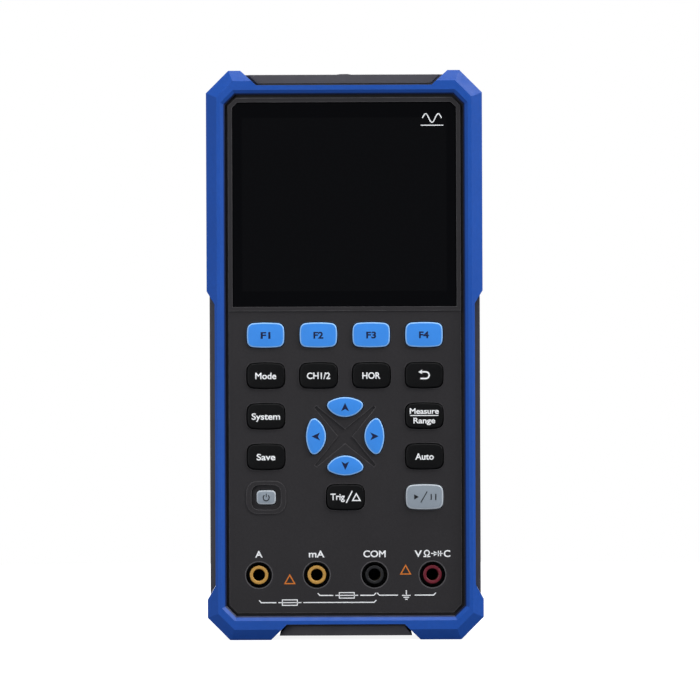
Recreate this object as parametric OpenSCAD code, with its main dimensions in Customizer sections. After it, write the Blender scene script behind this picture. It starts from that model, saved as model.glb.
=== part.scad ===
// Handheld two-channel oscilloscope and multimeter: a dark two-part shell in a blue protective frame.
// X runs to the right, Y from the front to the back, Z up; the origin is in the middle of the base.
// Depths (names ending in _d) are measured backwards from the plane of the front frame's crest.

/* [Case] */
// Overall width across the corner bumpers
body_w = 96; // [94:1:120]
// Overall height from the feet to the top corners
body_h = 198; // [192:1:240]
// Overall depth from the front frame to the rear frame
body_d = 38; // [37.5:0.5:46]
// Thickness of the shell's side walls
wall = 2.2; // [1.8:0.1:2.6]
// Thickness of the front panel and of the back
panel_t = 2.4; // [2:0.1:2.5]
// Thickness of the blue frame over the sides of the shell
armour_t = 4.8; // [4.4:0.1:5.2]
// Leg of the 45 degree cut on the outer corners
corner_cut = 7.8; // [6:0.2:9]

/* [Frame] */
// Width of the side band, from the outside to the front opening
side_band = 6.6; // [6.2:0.1:7]
// Width of the bands across the top and the bottom
end_band = 8.4; // [8:0.1:9]
// Leg of the cut on the corners of the front opening
opening_cut = 3.5; // [2:0.1:5]
// How far the side band steps in at the waist
waist_in = 2.8; // [2:0.1:3.4]
// Height of the top of the lower armour
toe_h = 19; // [17:0.5:24]
// Length of the upper armour, down from the top
armour_len = 81.2; // [70:0.2:90]
// Drop of the frame's top edge between the corners
top_dip = 5.2; // [5:0.1:6]
// Half width of the gap between the top corners
top_gap = 30.5; // [29:0.5:33]
// Half width of the gap between the lower corners
foot_gap = 20.5; // [16:0.5:24]

/* [Display] */
// Width of the display window
lens_w = 77.8; // [70:0.2:77.8]
// Height of the display window
lens_h = 71; // [66:0.5:73]
// Thickness of the display window
lens_t = 1.6; // [1.2:0.1:1.8]
// Distance from the top of the case to the window
lens_drop = 11.1; // [11:0.1:14]

/* [Keys] */
// Width of a key
key_w = 13.1; // [11:0.1:14]
// Height of a key
key_h = 8.8; // [7:0.1:10]
// Spacing of the key columns
key_pitch_x = 18.35; // [17.5:0.05:18.6]
// Spacing of the key rows
key_pitch_z = 14.1; // [13:0.1:14.4]
// Clearance around a key in the panel
key_gap = 0.3; // [0.2:0.05:0.4]
// Height of a key above the panel
key_proud = 1; // [0.6:0.1:1.4]
// Travel of a key
key_travel = 1; // [0.6:0.1:1]
// Length of an arrow key
arrow_w = 12.6; // [11:0.1:13]
// Distance of an arrow key from the middle of the arrow pad
arrow_r = 10.15; // [9.8:0.05:10.6]

/* [Test sockets] */
// Bore of a test lead socket
jack_bore = 4; // [3.8:0.1:4.2]
// Outer diameter of the coloured sleeve
jack_sleeve = 6.5; // [6.2:0.1:7]
// Diameter of the opening around the sleeve
jack_hole = 9; // [8.6:0.1:10]
// Spacing of the sockets
jack_pitch = 20.1; // [17:0.1:20.3]
// Height of the sockets above the base
jack_z = 22.6; // [22:0.1:25]
// Length of the contact tubes
jack_len = 20; // [16:0.5:21]

/* [Battery and stand] */
// Diameter of a battery cell
cell_d = 18.4; // [16:0.2:18.8]
// Length of a battery cell
cell_len = 66; // [60:0.5:67]
// Thickness of the battery door
door_t = 2.2; // [1.8:0.1:2.6]
// Thickness of the stand
stand_t = 3.6; // [3:0.1:4]
// Height of the stand's hinge
hinge_z = 106; // [100:0.5:112]
// Diameter of the stand's hinge pins
hinge_pin_d = 2.4; // [2:0.1:2.6]

/* [Top sockets] */
// Depth of the well that the signal sockets stand in
well_depth = 12; // [11:0.5:14]
// Diameter of a signal socket's barrel
bnc_d = 9.6; // [9:0.1:9.7]
// Distance of a signal socket from the middle
bnc_x = 19; // [18:0.5:20]

/* [Hidden] */
$fn = 48;

shell_black = "#353335";
trim_grey = "#4a484a";
frame_blue = "#2e55b0";
key_blue = "#3f96f0";
key_black = "#17171a";
key_grey = "#9aa3ad";
board_green = "#1d5c38";
steel = "#b9bcc0";
brass = "#c9a24b";
pale_plastic = "#d8d8d2";
lens_black = "#060709";
battery_wrap = "#2f6f7d";
paper_buff = "#e9e4d0";

skin = 0.01;                               // overlap that joins two layers of one piece
snug = 0.02;                               // clearance of pieces that are pushed together
mid_d = body_d / 2;                        // depth of the joint between the two shells
split_gap = 0.3;                           // gap between the front and rear frames
fit_gap = 0.3;                             // gap between pieces that lie side by side
half_w = body_w / 2;

// Frame section
lip_d = 1.2;                               // depth of the frame at its opening
lip_w = 1.6;                               // width of the bevel inside the crest
bevel_w = 3.7;                             // width of the bevel outside the crest
bevel_d = 2.2;                             // depth of that bevel
panel_d = 2;                               // depth of the front panel's face
edge_d = 3;                                // depth of the margin around the face
edge_w = 1;                                // width of that margin inside the opening
panel_back_d = panel_d + panel_t;
grip_d = 6.3;                              // depth at which the side grips start
trim_d = 3.4;                              // depth of the end trims' face
trim_t = 2;
tab_d = trim_d + trim_t;                   // depth of the shell's end tabs behind the trims
tab_top = body_h - 1.4;
tab_bottom = 1.4;
tab_slant = 2.6;                           // sideways slant of the ends of the lower tab
trim_rim = 1.2;                            // width of the sunken rim at the ends of the top trim
trim_step = 0.7;                           // depth of that rim
bump_x = 2.6;                              // half width and height of the bump on the top trim
bump_up = 0.2;
waist_x = half_w - waist_in;
shoulder_z = body_h - armour_len;
shoulder_rise = 4.5;
toe_drop = 4.9;
gap_slant_x = 5.5;                         // slant of the corner blocks towards the end gaps
gap_rise = 5.5;
open_x = half_w - side_band;
inner_x = half_w - armour_t - wall;        // inside of the shell's side walls
inner_z0 = armour_t + wall;
inner_z1 = body_h - armour_t - wall;
grip_x = half_w - 0.9;                     // outside of the side grips
grip_pitch = 7;
grip_groove = 1.2;
groove_d = 0.7;
grip_rim = 3;                              // plain margin in front of and behind the grooves
grip_end = 8;                              // plain length at each end of a grip
end_gap = 0.12;                            // gap between a grip and the frame above or below it

// Window
lens_z1 = body_h - lens_drop;
lens_z0 = lens_z1 - lens_h;
lens_cut = 1.8;
bezel_w = 1.5;
bezel_up = 0.4;
lens_d = panel_d - 0.1;
gasket_t = 0.4;
seat_d = lens_d + lens_t + gasket_t;       // depth of the ledge under the window
ledge_w = 1.9;
ledge_t = 1.2;
lcd_d = seat_d + ledge_t + 0.1;
lcd_w = 76.6;
lcd_h = 63;
bracket_t = 0.8;
bracket_gap = 0.2;                         // gap between the display's bracket and the board

// Keypad
key_rows_z = lens_z0 - 9.9;                // height of the top row
function row_z(i) = key_rows_z - i * key_pitch_z;
function col_x(i) = (i - 1.5) * key_pitch_x;
pad_z = (row_z(2) + row_z(3)) / 2;
key_face_d = panel_d - key_proud;
key_bow = 0.45;
key_round = 2.2;
key_step = 0.4;                            // edge step around a key's face
flange_d = panel_back_d + fit_gap;
flange_t = 0.8;
flange_w = 0.8;
stem_r = 2;
stem_d = flange_d + flange_t + 1.7;        // depth of the end of a key's stem
arrow_sag_out = 2.9;
arrow_sag_in = 4.1;
arrow_round = 1.7;                         // radius of the ends of an arrow key
channel_depth = 0.5;                       // depth of the crossed channels between the arrow keys
channel_reach = 14.6;
channel_w = 3.9;
channel_end = 1;
power_w = 6.8;
power_h = 5;
power_bow = 0.15;
power_round = 1.3;
power_face_d = panel_d - 0.2;
dish_w = 10.4;
dish_h = 8.8;
dish_d = panel_d + 0.8;
dish_bow = 0.25;
dish_round = 2.6;
collar_w = 1.7;
collar_up = 0.4;
mat_d = stem_d + 0.1;
mat_t = 0.6;
dome_r = 2.9;
dome_t = 0.5;
dome_d = stem_d + key_travel + fit_gap;
board_d = dome_d + dome_t;
board_t = 1.6;
board_back_d = board_d + board_t;
lcd_t = board_d - bracket_gap - bracket_t - lcd_d;  // the display fills the space before the board
panel_key_spots = concat(
  [for (i = [0:3], j = [0, 1]) [col_x(i), row_z(j)]],
  [for (i = [0, 3], j = [2, 3]) [col_x(i), row_z(j)]],
  [for (x = [0, col_x(3)]) [x, row_z(4)]]);
power_spot = [col_x(0), row_z(4)];
arrow_spots = [for (a = [0:90:270]) [arrow_r * sin(a), pad_z + arrow_r * cos(a)]];
key_spots = concat(panel_key_spots, [power_spot], arrow_spots);

// Case screws
post_x = inner_x - 3.9;
post_z = [inner_z0 + 4, inner_z1 - 6.4];
post_r = 3;
head_post_r = 4.2;
screw_r = 1.25;
screw_hole_r = 1.6;
head_r = 2.6;
head_hole_r = 2.9;
head_t = 1.8;
head_seat_e = 6;                           // depth of the screw heads' seat from the back

// Boards
board_x = inner_x - 2.5;
board_z0 = 36;
board_z1 = post_z[1] - head_post_r - fit_gap;
can_z = [board_z1 - 58, board_z1 - 10];
can_x = 34;
can_t = 4;
sheet_t = 0.4;
chip_w = 14;
chip_t = 1.2;
buzzer_r = 6;
buzzer_z = 60;

// Test sockets
function jack_x(i) = (i - 1.5) * jack_pitch;
jack_wall = 1.2;
jack_tube_r = jack_hole / 2 + jack_wall;
sleeve_d = panel_d + 0.4;
sleeve_mouth = 3;                          // length of the narrow mouth of the sleeve
mouth_gap = 0.1;                           // clearance of that mouth around a plug's pin
contact_r = 2.75;
contact_hole_r = contact_r + 0.05;
contact_d = sleeve_d + sleeve_mouth + 0.1;
block_base_d = 14;
block_base_t = 3;
meter_d = contact_d + jack_len - 2.5;
meter_x = 1.5 * jack_pitch + 4;
meter_z = [jack_z - 7, jack_z + 12.2];
fuse_r = 2.6;
fuse_len = 20;
fuse_x = [-17, 9];
fuse_z = jack_z + 9.4;
fuse_d = meter_d - fuse_r - 0.6;

// Well for the signal sockets
well_x = 28.5;
well_w = 20;
well_t = 1.4;
well_floor_t = 2;
well_y1 = body_d / 2 - panel_back_d - well_t;
well_y0 = well_y1 - well_w;
well_y = (well_y0 + well_y1) / 2;
well_z = tab_top - well_depth;
bnc_flange_r = 6.6;
bnc_flange_t = 1.8;
bnc_bore_r = 4.05;
bnc_tail_r = 5.6;
bnc_tail_len = 9;
bnc_top = well_z + 11;
lug_out = 0.7;                             // height, radius and drop from the top of the bayonet lugs
lug_r = 0.95;
lug_drop = 4.2;
insulator_r = 2.4;
signal_pin_r = 0.85;
usb_w = 8.9;
usb_t = 3.2;
usb_len = 7.4;
usb_wall = 0.35;
terminal_r = 0.8;
terminal_h = 3.4;
terminal_x = 4;
terminal_y = well_y + 6.5;

// Battery and its door; depths ending in _e are measured forwards from the rear frame's crest
cell_gap = 0.4;
pack_x = cell_d + cell_gap / 2;
tub_x = pack_x + 1.4;
tub_t = 1.6;
contact_space = 2;
tub_z0 = 40;
tub_z1 = tub_z0 + cell_len + 2 * contact_space;
cell_e = panel_d + door_t + 0.7;
tub_e = cell_e + cell_d + cell_gap;
door_x = tub_x + 2.4;
door_z = [tub_z0 - 6.8, tub_z1 + 7.5];
door_frame_t = 2;
door_seat_e = panel_d + door_t;
door_screw_z = [door_z[0] + 3.5, door_z[1] - 3.7];
door_screw_r = 1;
door_head_r = 1.95;
door_head_t = 1.1;
door_boss_r = 3;
door_boss_len = 7;

// Stand
stand_x = [28, 37.5];                      // inner and outer edge of a leg
stand_z0 = 20;
stand_bar = 11;
stand_corner = 3;
stand_e = panel_d + 0.2;
barrel_r = 2.4;
hinge_e = stand_e + barrel_r;
recess_gap = 0.4;
recess_e = stand_e + 2 * barrel_r + fit_gap;
recess_t = 1.8;
pin_gap = 0.05;
pin_reach = 1.8;                           // length of a hinge pin on each side of its leg
rib_d = 0.6;                               // grooves across the stand's foot
rib_w = 0.8;
notch_x = 9;
label_x = 29;                              // shallow recess for a label above the door
label_z = [door_z[1] + 13, door_z[1] + 49];
label_d = 0.4;
notch_h = 6;

// ---- Shapes and helpers ----

// Extrudes an outline drawn in X and Z between two depths.
module slab(d0, d1)
  translate([0, d1 - mid_d, 0]) rotate([90, 0, 0]) linear_extrude(d1 - d0) children();

module peg(x, z, d0, d1, r)
  translate([x, d1 - mid_d, z]) rotate([90, 0, 0]) cylinder(h = d1 - d0, r = r);

module block(low, high) translate(low) cube(high - low);

// Turns depths into depths from the back.
module from_back() mirror([0, 1, 0]) children();

module both_sides() for (side = [0, 1]) mirror([side, 0, 0]) children();

function mirrored(points) =
  concat(points, [for (i = [len(points) - 1:-1:0]) [-points[i][0], points[i][1]]]);

// Rectangle about the centre line with 45 degree corners.
module cut_rect(x, z0, z1, cut)
  polygon(mirrored([[x - cut, z0], [x, z0 + cut], [x, z1 - cut], [x - cut, z1]]));

function inset_cut(cut, inset) = cut - inset * (2 - sqrt(2));

// Octagon around the whole case, moved inwards.
module case_outline(inset)
  cut_rect(half_w - inset, inset, body_h - inset, inset_cut(corner_cut, inset));

module shell_outline(inset) case_outline(armour_t + inset);

module opening_outline(grow)
  cut_rect(open_x + grow, end_band - grow, body_h - end_band + grow, inset_cut(opening_cut, -grow));

// Outline of the blue frame: armoured ends, a narrower waist and a gap at each end.
module frame_outline() polygon(mirrored([
  [foot_gap, gap_rise],
  [foot_gap + gap_slant_x, 0],
  [half_w - corner_cut, 0],
  [half_w, corner_cut],
  [half_w, toe_h - toe_drop],
  [waist_x, toe_h],
  [waist_x, shoulder_z],
  [half_w, shoulder_z + shoulder_rise],
  [half_w, body_h - corner_cut],
  [half_w - corner_cut, body_h],
  [top_gap + gap_slant_x, body_h],
  [top_gap, body_h - top_dip]]));

function grip_top(x) = shoulder_z + (x - waist_x) * shoulder_rise / waist_in;
function grip_bottom(x) = toe_h - (x - waist_x) * toe_drop / waist_in;

module grip_outline(outer_x, gap) polygon([
  [half_w - armour_t, grip_bottom(half_w - armour_t) + gap],
  [outer_x, grip_bottom(outer_x) + gap],
  [outer_x, grip_top(outer_x) - gap],
  [half_w - armour_t, grip_top(half_w - armour_t) - gap]]);

// The ends of the upper tab follow the corner blocks of the frame.
function top_end(z) = top_gap - snug + (z - body_h + top_dip) * gap_slant_x / top_dip;

module top_tab_outline(inset) polygon(mirrored([
  [top_end(body_h - top_dip) - inset, body_h - armour_t - 1],
  [top_end(body_h - top_dip) - inset, body_h - top_dip],
  [top_end(tab_top) - inset, tab_top]]));

module bottom_tab_outline(inset) polygon(mirrored([
  [foot_gap + tab_slant - inset, tab_bottom + inset],
  [foot_gap - inset, armour_t]]));

module lens_outline(grow) polygon(mirrored([
  [lens_w / 2 + grow, lens_z0 - grow],
  [lens_w / 2 + grow, lens_z1 + grow - inset_cut(lens_cut, -grow)],
  [lens_w / 2 + grow - inset_cut(lens_cut, -grow), lens_z1 + grow]]));

// Rounded rectangle whose four sides bow outwards.
module bowed(w, h, bow, round) {
  side_r = (h * h / 4 + bow * bow) / (2 * bow);
  end_r = (w * w / 4 + bow * bow) / (2 * bow);
  offset(r = round, $fn = 24) offset(delta = -round) intersection() {
    translate([w / 2 - side_r, 0]) circle(side_r, $fn = 120);
    translate([side_r - w / 2, 0]) circle(side_r, $fn = 120);
    translate([0, h / 2 - end_r]) circle(end_r, $fn = 180);
    translate([0, end_r - h / 2]) circle(end_r, $fn = 180);
  }
}

// Outline of a function key about its own middle.
module key_outline(grow) bowed(key_w + 2 * grow, key_h + 2 * grow, key_bow, key_round + grow);

module power_outline(grow) bowed(power_w + 2 * grow, power_h + 2 * grow, power_bow, power_round + grow);

// Half-moon outline of the upper arrow key: the outer side is flatter than the inner side.
module arrow_outline(grow) {
  half = arrow_w / 2 - arrow_round;
  rise = arrow_sag_out - arrow_round;
  fall = arrow_sag_in - arrow_round;
  out_r = (half * half + rise * rise) / (2 * rise);
  in_r = (half * half + fall * fall) / (2 * fall);
  offset(r = arrow_round + grow, $fn = 32) translate([0, (fall - rise) / 2]) intersection() {
    translate([0, rise - out_r]) circle(out_r, $fn = 96);
    translate([0, in_r - fall]) circle(in_r, $fn = 72);
  }
}

// ---- Case ----

// One tray of the case, open at the joint, with its end tabs.
module tray() difference() {
  union() {
    slab(edge_d, mid_d) shell_outline(0);
    slab(panel_d, edge_d + skin) opening_outline(-edge_w);
    slab(tab_d, mid_d) top_tab_outline(0);
    slab(tab_d, mid_d) bottom_tab_outline(0);
  }
  slab(panel_back_d, mid_d + 1) shell_outline(wall);
}

module well_space()
  block([-well_x - well_t, well_y0 - well_t, well_z - well_floor_t],
        [well_x + well_t, well_y1 + well_t, body_h + 1]);

module seal_ring(gap) difference() {
  slab(mid_d - 0.6 - gap, mid_d + 0.6 + gap) difference() {
    shell_outline(0.6);
    shell_outline(1.6);
  }
  well_space();
}

module front_shell() color(shell_black) difference() {
  union() {
    tray();
    slab(panel_d - bezel_up, panel_d + skin) lens_outline(bezel_w);
    slab(panel_back_d - skin, seat_d + ledge_t) lens_outline(0.6);
    slab(panel_d - collar_up, panel_d + skin) translate(power_spot)
      bowed(dish_w + 2 * collar_w, dish_h + 1.5 * collar_w, dish_bow, dish_round + 1.2);
    for (s = [-1, 1], z = post_z) peg(s * post_x, z, panel_back_d - skin, mid_d, post_r);
  }
  slab(-1, seat_d) lens_outline(0.05);
  slab(-1, seat_d + ledge_t + 1) lens_outline(-ledge_w);
  slab(-1, panel_back_d + 1) {
    for (spot = panel_key_spots) translate(spot) key_outline(key_gap);
    for (a = [0:90:270]) translate([0, pad_z]) rotate(a) translate([0, arrow_r]) arrow_outline(key_gap);
    translate(power_spot) power_outline(key_gap);
  }
  slab(-1, dish_d) translate(power_spot) bowed(dish_w, dish_h, dish_bow, dish_round);
  pad_channels();
  for (i = [0:3]) peg(jack_x(i), jack_z, -1, panel_back_d + 1, jack_hole / 2);
  for (s = [-1, 1], z = post_z) peg(s * post_x, z, mid_d - 9, mid_d + 1, screw_r - 0.1);
  well_space();
  seal_ring(snug);
}

// Shallow crossed channels between the arrow keys, narrowing outwards.
module pad_channels()
  slab(panel_d - 1, panel_d + channel_depth) translate([0, pad_z]) for (a = [45:90:315]) rotate(a)
    polygon([[0, -channel_w / 2], [channel_reach, -channel_end / 2],
             [channel_reach, channel_end / 2], [0, channel_w / 2]]);

module rear_shell() color(shell_black) difference() {
  union() {
    from_back() {
      tray();
      slab(panel_back_d - skin, recess_e + recess_t) stand_recess(recess_t);
      slab(panel_back_d - skin, tub_e + tub_t) tub_outline(tub_t);
      slab(panel_back_d - skin, door_seat_e + door_frame_t) door_outline(door_frame_t);
      for (z = door_screw_z) peg(0, z, door_seat_e, door_seat_e + door_boss_len, door_boss_r);
      for (s = [-1, 1], z = post_z) peg(s * post_x, z, panel_back_d - skin, mid_d, head_post_r);
    }
  }
  from_back() {
    slab(-1, recess_e) stand_recess(0);
    slab(-1, tub_e) tub_outline(0);
    slab(-1, door_seat_e) door_outline(fit_gap);
    slab(-1, recess_e) notch_outline();
    slab(-1, panel_d + label_d) cut_rect(label_x, label_z[0], label_z[1], 2);
    for (z = door_screw_z) peg(0, z, 0, door_seat_e + door_boss_len - 1, door_screw_r + 0.1);
    for (s = [-1, 1], z = post_z) {
      peg(s * post_x, z, -1, head_seat_e, head_hole_r);
      peg(s * post_x, z, 0, mid_d + 1, screw_hole_r);
    }
  }
  both_sides() hinge_line(hinge_pin_d / 2);
  well_space();
  seal_ring(snug);
}

module tub_outline(grow)
  translate([-tub_x - grow, tub_z0 - grow]) square([2 * (tub_x + grow), tub_z1 - tub_z0 + 2 * grow]);

module door_outline(grow) cut_rect(door_x + grow, door_z[0] - grow, door_z[1] + grow, 3);

module notch_outline()
  translate([-notch_x, stand_z0 - notch_h]) square([2 * notch_x, notch_h]);

// The U-shaped recess that the stand folds into.
module stand_recess(grow) {
  gap = recess_gap + grow;
  difference() {
    polygon(mirrored([
      [stand_x[1] + gap - stand_corner, stand_z0 - gap],
      [stand_x[1] + gap, stand_z0 - gap + stand_corner],
      [stand_x[1] + gap, hinge_z + barrel_r + gap]]));
    translate([gap - stand_x[0], stand_z0 + stand_bar + gap]) square([2 * (stand_x[0] - gap), hinge_z]);
  }
}

// A cylinder along the stand's hinge axis on the right-hand side.
module hinge_line(r)
  translate([stand_x[0] - pin_reach, mid_d - hinge_e, hinge_z]) rotate([0, 90, 0])
    cylinder(h = stand_x[1] - stand_x[0] + 2 * pin_reach, r = r);

module case_seal() color("#222222") seal_ring(0);

// The blue frame around one tray, in front of the joint.
module bumper() difference() {
  intersection() {
    slab(0, mid_d - split_gap / 2) frame_outline();
    hull() {
      slab(0, skin) case_outline(bevel_w);
      slab(bevel_d, mid_d) case_outline(0);
    }
  }
  slab(-1, mid_d) opening_outline(0);
  hull() {
    slab(lip_d - skin, lip_d) opening_outline(0);
    slab(-lip_d / 4, -lip_d / 4 + skin) opening_outline(lip_w * 1.25);
  }
  slab(edge_d, mid_d) shell_outline(0);
  both_sides() slab(grip_d - fit_gap, mid_d) grip_outline(half_w + 2, 0);
}

module front_bumper() color(frame_blue) bumper();

module rear_bumper() color(frame_blue) from_back() bumper();

// Dark grip on the right flank, with slanted ends and cross grooves.
module side_grip() difference() {
  slab(grip_d, body_d - grip_d) grip_outline(grip_x, end_gap);
  for (z = [grip_bottom(grip_x) + grip_end : grip_pitch : grip_top(grip_x) - grip_end])
    block([grip_x - groove_d, grip_d - mid_d + grip_rim, z],
          [grip_x + 1, mid_d - grip_d - grip_rim, z + grip_groove]);
}

module right_grip() color(trim_grey) side_grip();

module left_grip() color(trim_grey) mirror([1, 0, 0]) side_grip();

// Strip over the upper tab: a sunken rim, a raised face and a low bump in the middle of its top.
module top_trim() color(trim_grey) {
  slab(trim_d + trim_step, tab_d) top_trim_outline(0, 0);
  slab(trim_d, tab_d) top_trim_outline(trim_rim, trim_rim / 3);
  slab(trim_d, tab_d)
    polygon(mirrored([[bump_x, tab_top - 1], [bump_x, tab_top], [bump_x / 2, tab_top + bump_up]]));
}

module top_trim_outline(inset, rise) {
  base = body_h - armour_t + rise;
  polygon(mirrored([[top_end(base) - inset, base], [top_end(tab_top) - inset, tab_top]]));
}

module bottom_trim() color(trim_grey) slab(trim_d, tab_d) bottom_tab_outline(0);

// A screw along Y with its head towards the back; depths are from the back.
module screw(x, z, head_e, head_len, length, head_radius, r) difference() {
  union() {
    peg(x, z, head_e, head_e + head_len, head_radius);
    peg(x, z, head_e + head_len - skin, head_e + head_len + length, r);
  }
  slab(head_e - 1, head_e + head_len * 0.6) translate([x, z]) for (a = [0, 90]) rotate(a)
    square([head_radius * 1.2, head_radius * 0.32], center = true);
}

module case_screws() color(steel) from_back()
  for (s = [-1, 1], z = post_z)
    screw(s * post_x, z, head_seat_e - head_t, head_t, mid_d - head_seat_e + 7, head_r, screw_r - 0.1);

// ---- Display ----

module display_lens() color(lens_black) slab(lens_d, lens_d + lens_t) lens_outline(0);

module lens_gasket() color("#101010") slab(lens_d + lens_t, seat_d) difference() {
  lens_outline(-0.2);
  lens_outline(-1.6);
}

module lcd_panel() color("#20242a") difference() {
  slab(lcd_d, lcd_d + lcd_t) lcd_outline(0);
  slab(lcd_d - 1, lcd_d + 0.3) lcd_outline(-3);
}

module lcd_outline(grow)
  translate([-lcd_w / 2 - grow, board_z1 - lcd_h - grow]) square([lcd_w + 2 * grow, lcd_h + 2 * grow]);

module lcd_bracket() color(pale_plastic) slab(lcd_d + lcd_t, lcd_d + lcd_t + bracket_t) difference() {
  lcd_outline(0);
  for (s = [-1, 1]) translate([s * lcd_w / 4, board_z1 - lcd_h / 2])
    square([lcd_w / 2 - 8, lcd_h - 12], center = true);
}

// ---- Keys ----

// A key: stepped cap, a flange behind the panel and a stem towards its switch.
module key_body(face_d) {
  slab(face_d, face_d + key_step + skin) offset(delta = -key_step) children();
  slab(face_d + key_step, flange_d + skin) children();
  slab(flange_d, flange_d + flange_t) offset(delta = flange_w) children();
}

module panel_key(x, z, tint) color(tint) {
  key_body(key_face_d) translate([x, z]) key_outline(0);
  peg(x, z, flange_d, stem_d, stem_r);
}

module arrow_key(turn) color(key_blue) {
  key_body(key_face_d) translate([0, pad_z]) rotate(-turn) translate([0, arrow_r]) arrow_outline(0);
  peg(arrow_r * sin(turn), pad_z + arrow_r * cos(turn), flange_d, stem_d, stem_r);
}

module key_f1() panel_key(col_x(0), row_z(0), key_blue);
module key_f2() panel_key(col_x(1), row_z(0), key_blue);
module key_f3() panel_key(col_x(2), row_z(0), key_blue);
module key_f4() panel_key(col_x(3), row_z(0), key_blue);
module key_mode() panel_key(col_x(0), row_z(1), key_black);
module key_channel() panel_key(col_x(1), row_z(1), key_black);
module key_horizontal() panel_key(col_x(2), row_z(1), key_black);
module key_back() panel_key(col_x(3), row_z(1), key_black);
module key_system() panel_key(col_x(0), row_z(2), key_black);
module key_measure() panel_key(col_x(3), row_z(2), key_black);
module key_save() panel_key(col_x(0), row_z(3), key_black);
module key_auto() panel_key(col_x(3), row_z(3), key_black);
module key_trigger() panel_key(0, row_z(4), key_black);
module key_run() panel_key(col_x(3), row_z(4), key_grey);
module key_up() arrow_key(0);
module key_right() arrow_key(90);
module key_down() arrow_key(180);
module key_left() arrow_key(270);

module key_power() color(key_grey) {
  key_body(power_face_d) translate(power_spot) power_outline(0);
  peg(power_spot[0], power_spot[1], flange_d, stem_d, stem_r);
}

module keypad_mat() color(pale_plastic) difference() {
  slab(mat_d, mat_d + mat_t) translate([col_x(0) - key_w / 2 - 1, row_z(4) - key_h / 2 - 1])
    square([col_x(3) - col_x(0) + key_w + 2, row_z(0) - row_z(4) + key_h + 2]);
  for (spot = key_spots) peg(spot[0], spot[1], mat_d - 1, mat_d + mat_t + 1, stem_r + 0.8);
}

module switch_domes() color(steel)
  for (spot = key_spots) peg(spot[0], spot[1], dome_d, board_d, dome_r);

// ---- Boards ----

module main_board() color(board_green) slab(board_d, board_back_d)
  cut_rect(board_x, board_z0, board_z1, 2);

module shield_can() color(steel) difference() {
  slab(board_back_d, board_back_d + can_t) cut_rect(can_x, can_z[0], can_z[1], 1.5);
  slab(board_back_d - 1, board_back_d + can_t - sheet_t)
    cut_rect(can_x - sheet_t, can_z[0] + sheet_t, can_z[1] - sheet_t, 1.2);
}

module board_chips() color("#26262a") {
  slab(board_back_d, board_back_d + chip_t) {
    for (i = [-1:1]) translate([i * 1.4 * chip_w, can_z[0] + 16]) square(chip_w, center = true);
    translate([0, can_z[0] + 34]) square([1.4 * chip_w, 0.7 * chip_w], center = true);
  }
}

module buzzer() color("#1b1b1d") difference() {
  peg(board_x - buzzer_r - 1, buzzer_z, board_back_d, board_back_d + 5, buzzer_r);
  peg(board_x - buzzer_r - 1, buzzer_z, board_back_d + 4, board_back_d + 6, 1);
}

module meter_board() color(board_green) difference() {
  slab(meter_d, meter_d + board_t)
    translate([-meter_x, meter_z[0]]) square([2 * meter_x, meter_z[1] - meter_z[0]]);
  for (i = [0:3]) peg(jack_x(i), jack_z, meter_d - 1, meter_d + board_t + 1, contact_hole_r);
}

module fuse(x, r, inset) translate([x - fuse_len / 2 + inset, fuse_d - mid_d, fuse_z])
  rotate([0, 90, 0]) cylinder(h = fuse_len - 2 * inset, r = r);

module fuses() color(paper_buff) for (x = fuse_x) {
  fuse(x, fuse_r - 0.15, 0);
  for (s = [-1, 1]) translate([s * (fuse_len / 2 - 2.4), 0, 0]) fuse(x, fuse_r, fuse_len / 2 - 2.4);
}

module fuse_clips() color(brass) for (x = fuse_x, s = [-1, 1]) difference() {
  translate([x + s * (fuse_len / 2 - 2.4), 0, 0])
    block([-1.5, fuse_d - mid_d - 1.4, fuse_z - fuse_r - 0.5], [1.5, meter_d - mid_d, fuse_z + fuse_r + 0.5]);
  fuse(x, fuse_r, -2);
}

// ---- Test lead sockets ----

module jack_block() color("#151517") difference() {
  union() {
    for (i = [0:3]) peg(jack_x(i), jack_z, panel_back_d + 0.1, block_base_d, jack_tube_r);
    slab(block_base_d - skin, block_base_d + block_base_t) translate([0, jack_z])
      square([3 * jack_pitch + 2 * jack_tube_r + 1, 2 * jack_tube_r], center = true);
  }
  for (i = [0:3]) {
    peg(jack_x(i), jack_z, panel_back_d - 1, block_base_d, jack_hole / 2);
    peg(jack_x(i), jack_z, block_base_d - 1, block_base_d + block_base_t + 1, contact_hole_r);
  }
}

// Sleeve around one contact: a narrow mouth, then a wider bore that holds the contact tube.
module jack_sleeve(i) difference() {
  peg(jack_x(i), jack_z, sleeve_d, block_base_d, jack_sleeve / 2);
  peg(jack_x(i), jack_z, sleeve_d - 1, block_base_d + 1, jack_bore / 2 + mouth_gap);
  peg(jack_x(i), jack_z, sleeve_d + sleeve_mouth, block_base_d + 1, contact_hole_r);
}

module jack_sleeve_amp() color("#d89a3c") jack_sleeve(0);
module jack_sleeve_milliamp() color("#d89a3c") jack_sleeve(1);
module jack_sleeve_common() color("#141416") jack_sleeve(2);
module jack_sleeve_volt() color("#7a1824") jack_sleeve(3);

module jack_contacts() color(brass) for (i = [0:3]) difference() {
  peg(jack_x(i), jack_z, contact_d, contact_d + jack_len, contact_r);
  peg(jack_x(i), jack_z, contact_d - 1, contact_d + jack_len + 1, jack_bore / 2);
}

// ---- Signal sockets in the top ----

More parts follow.
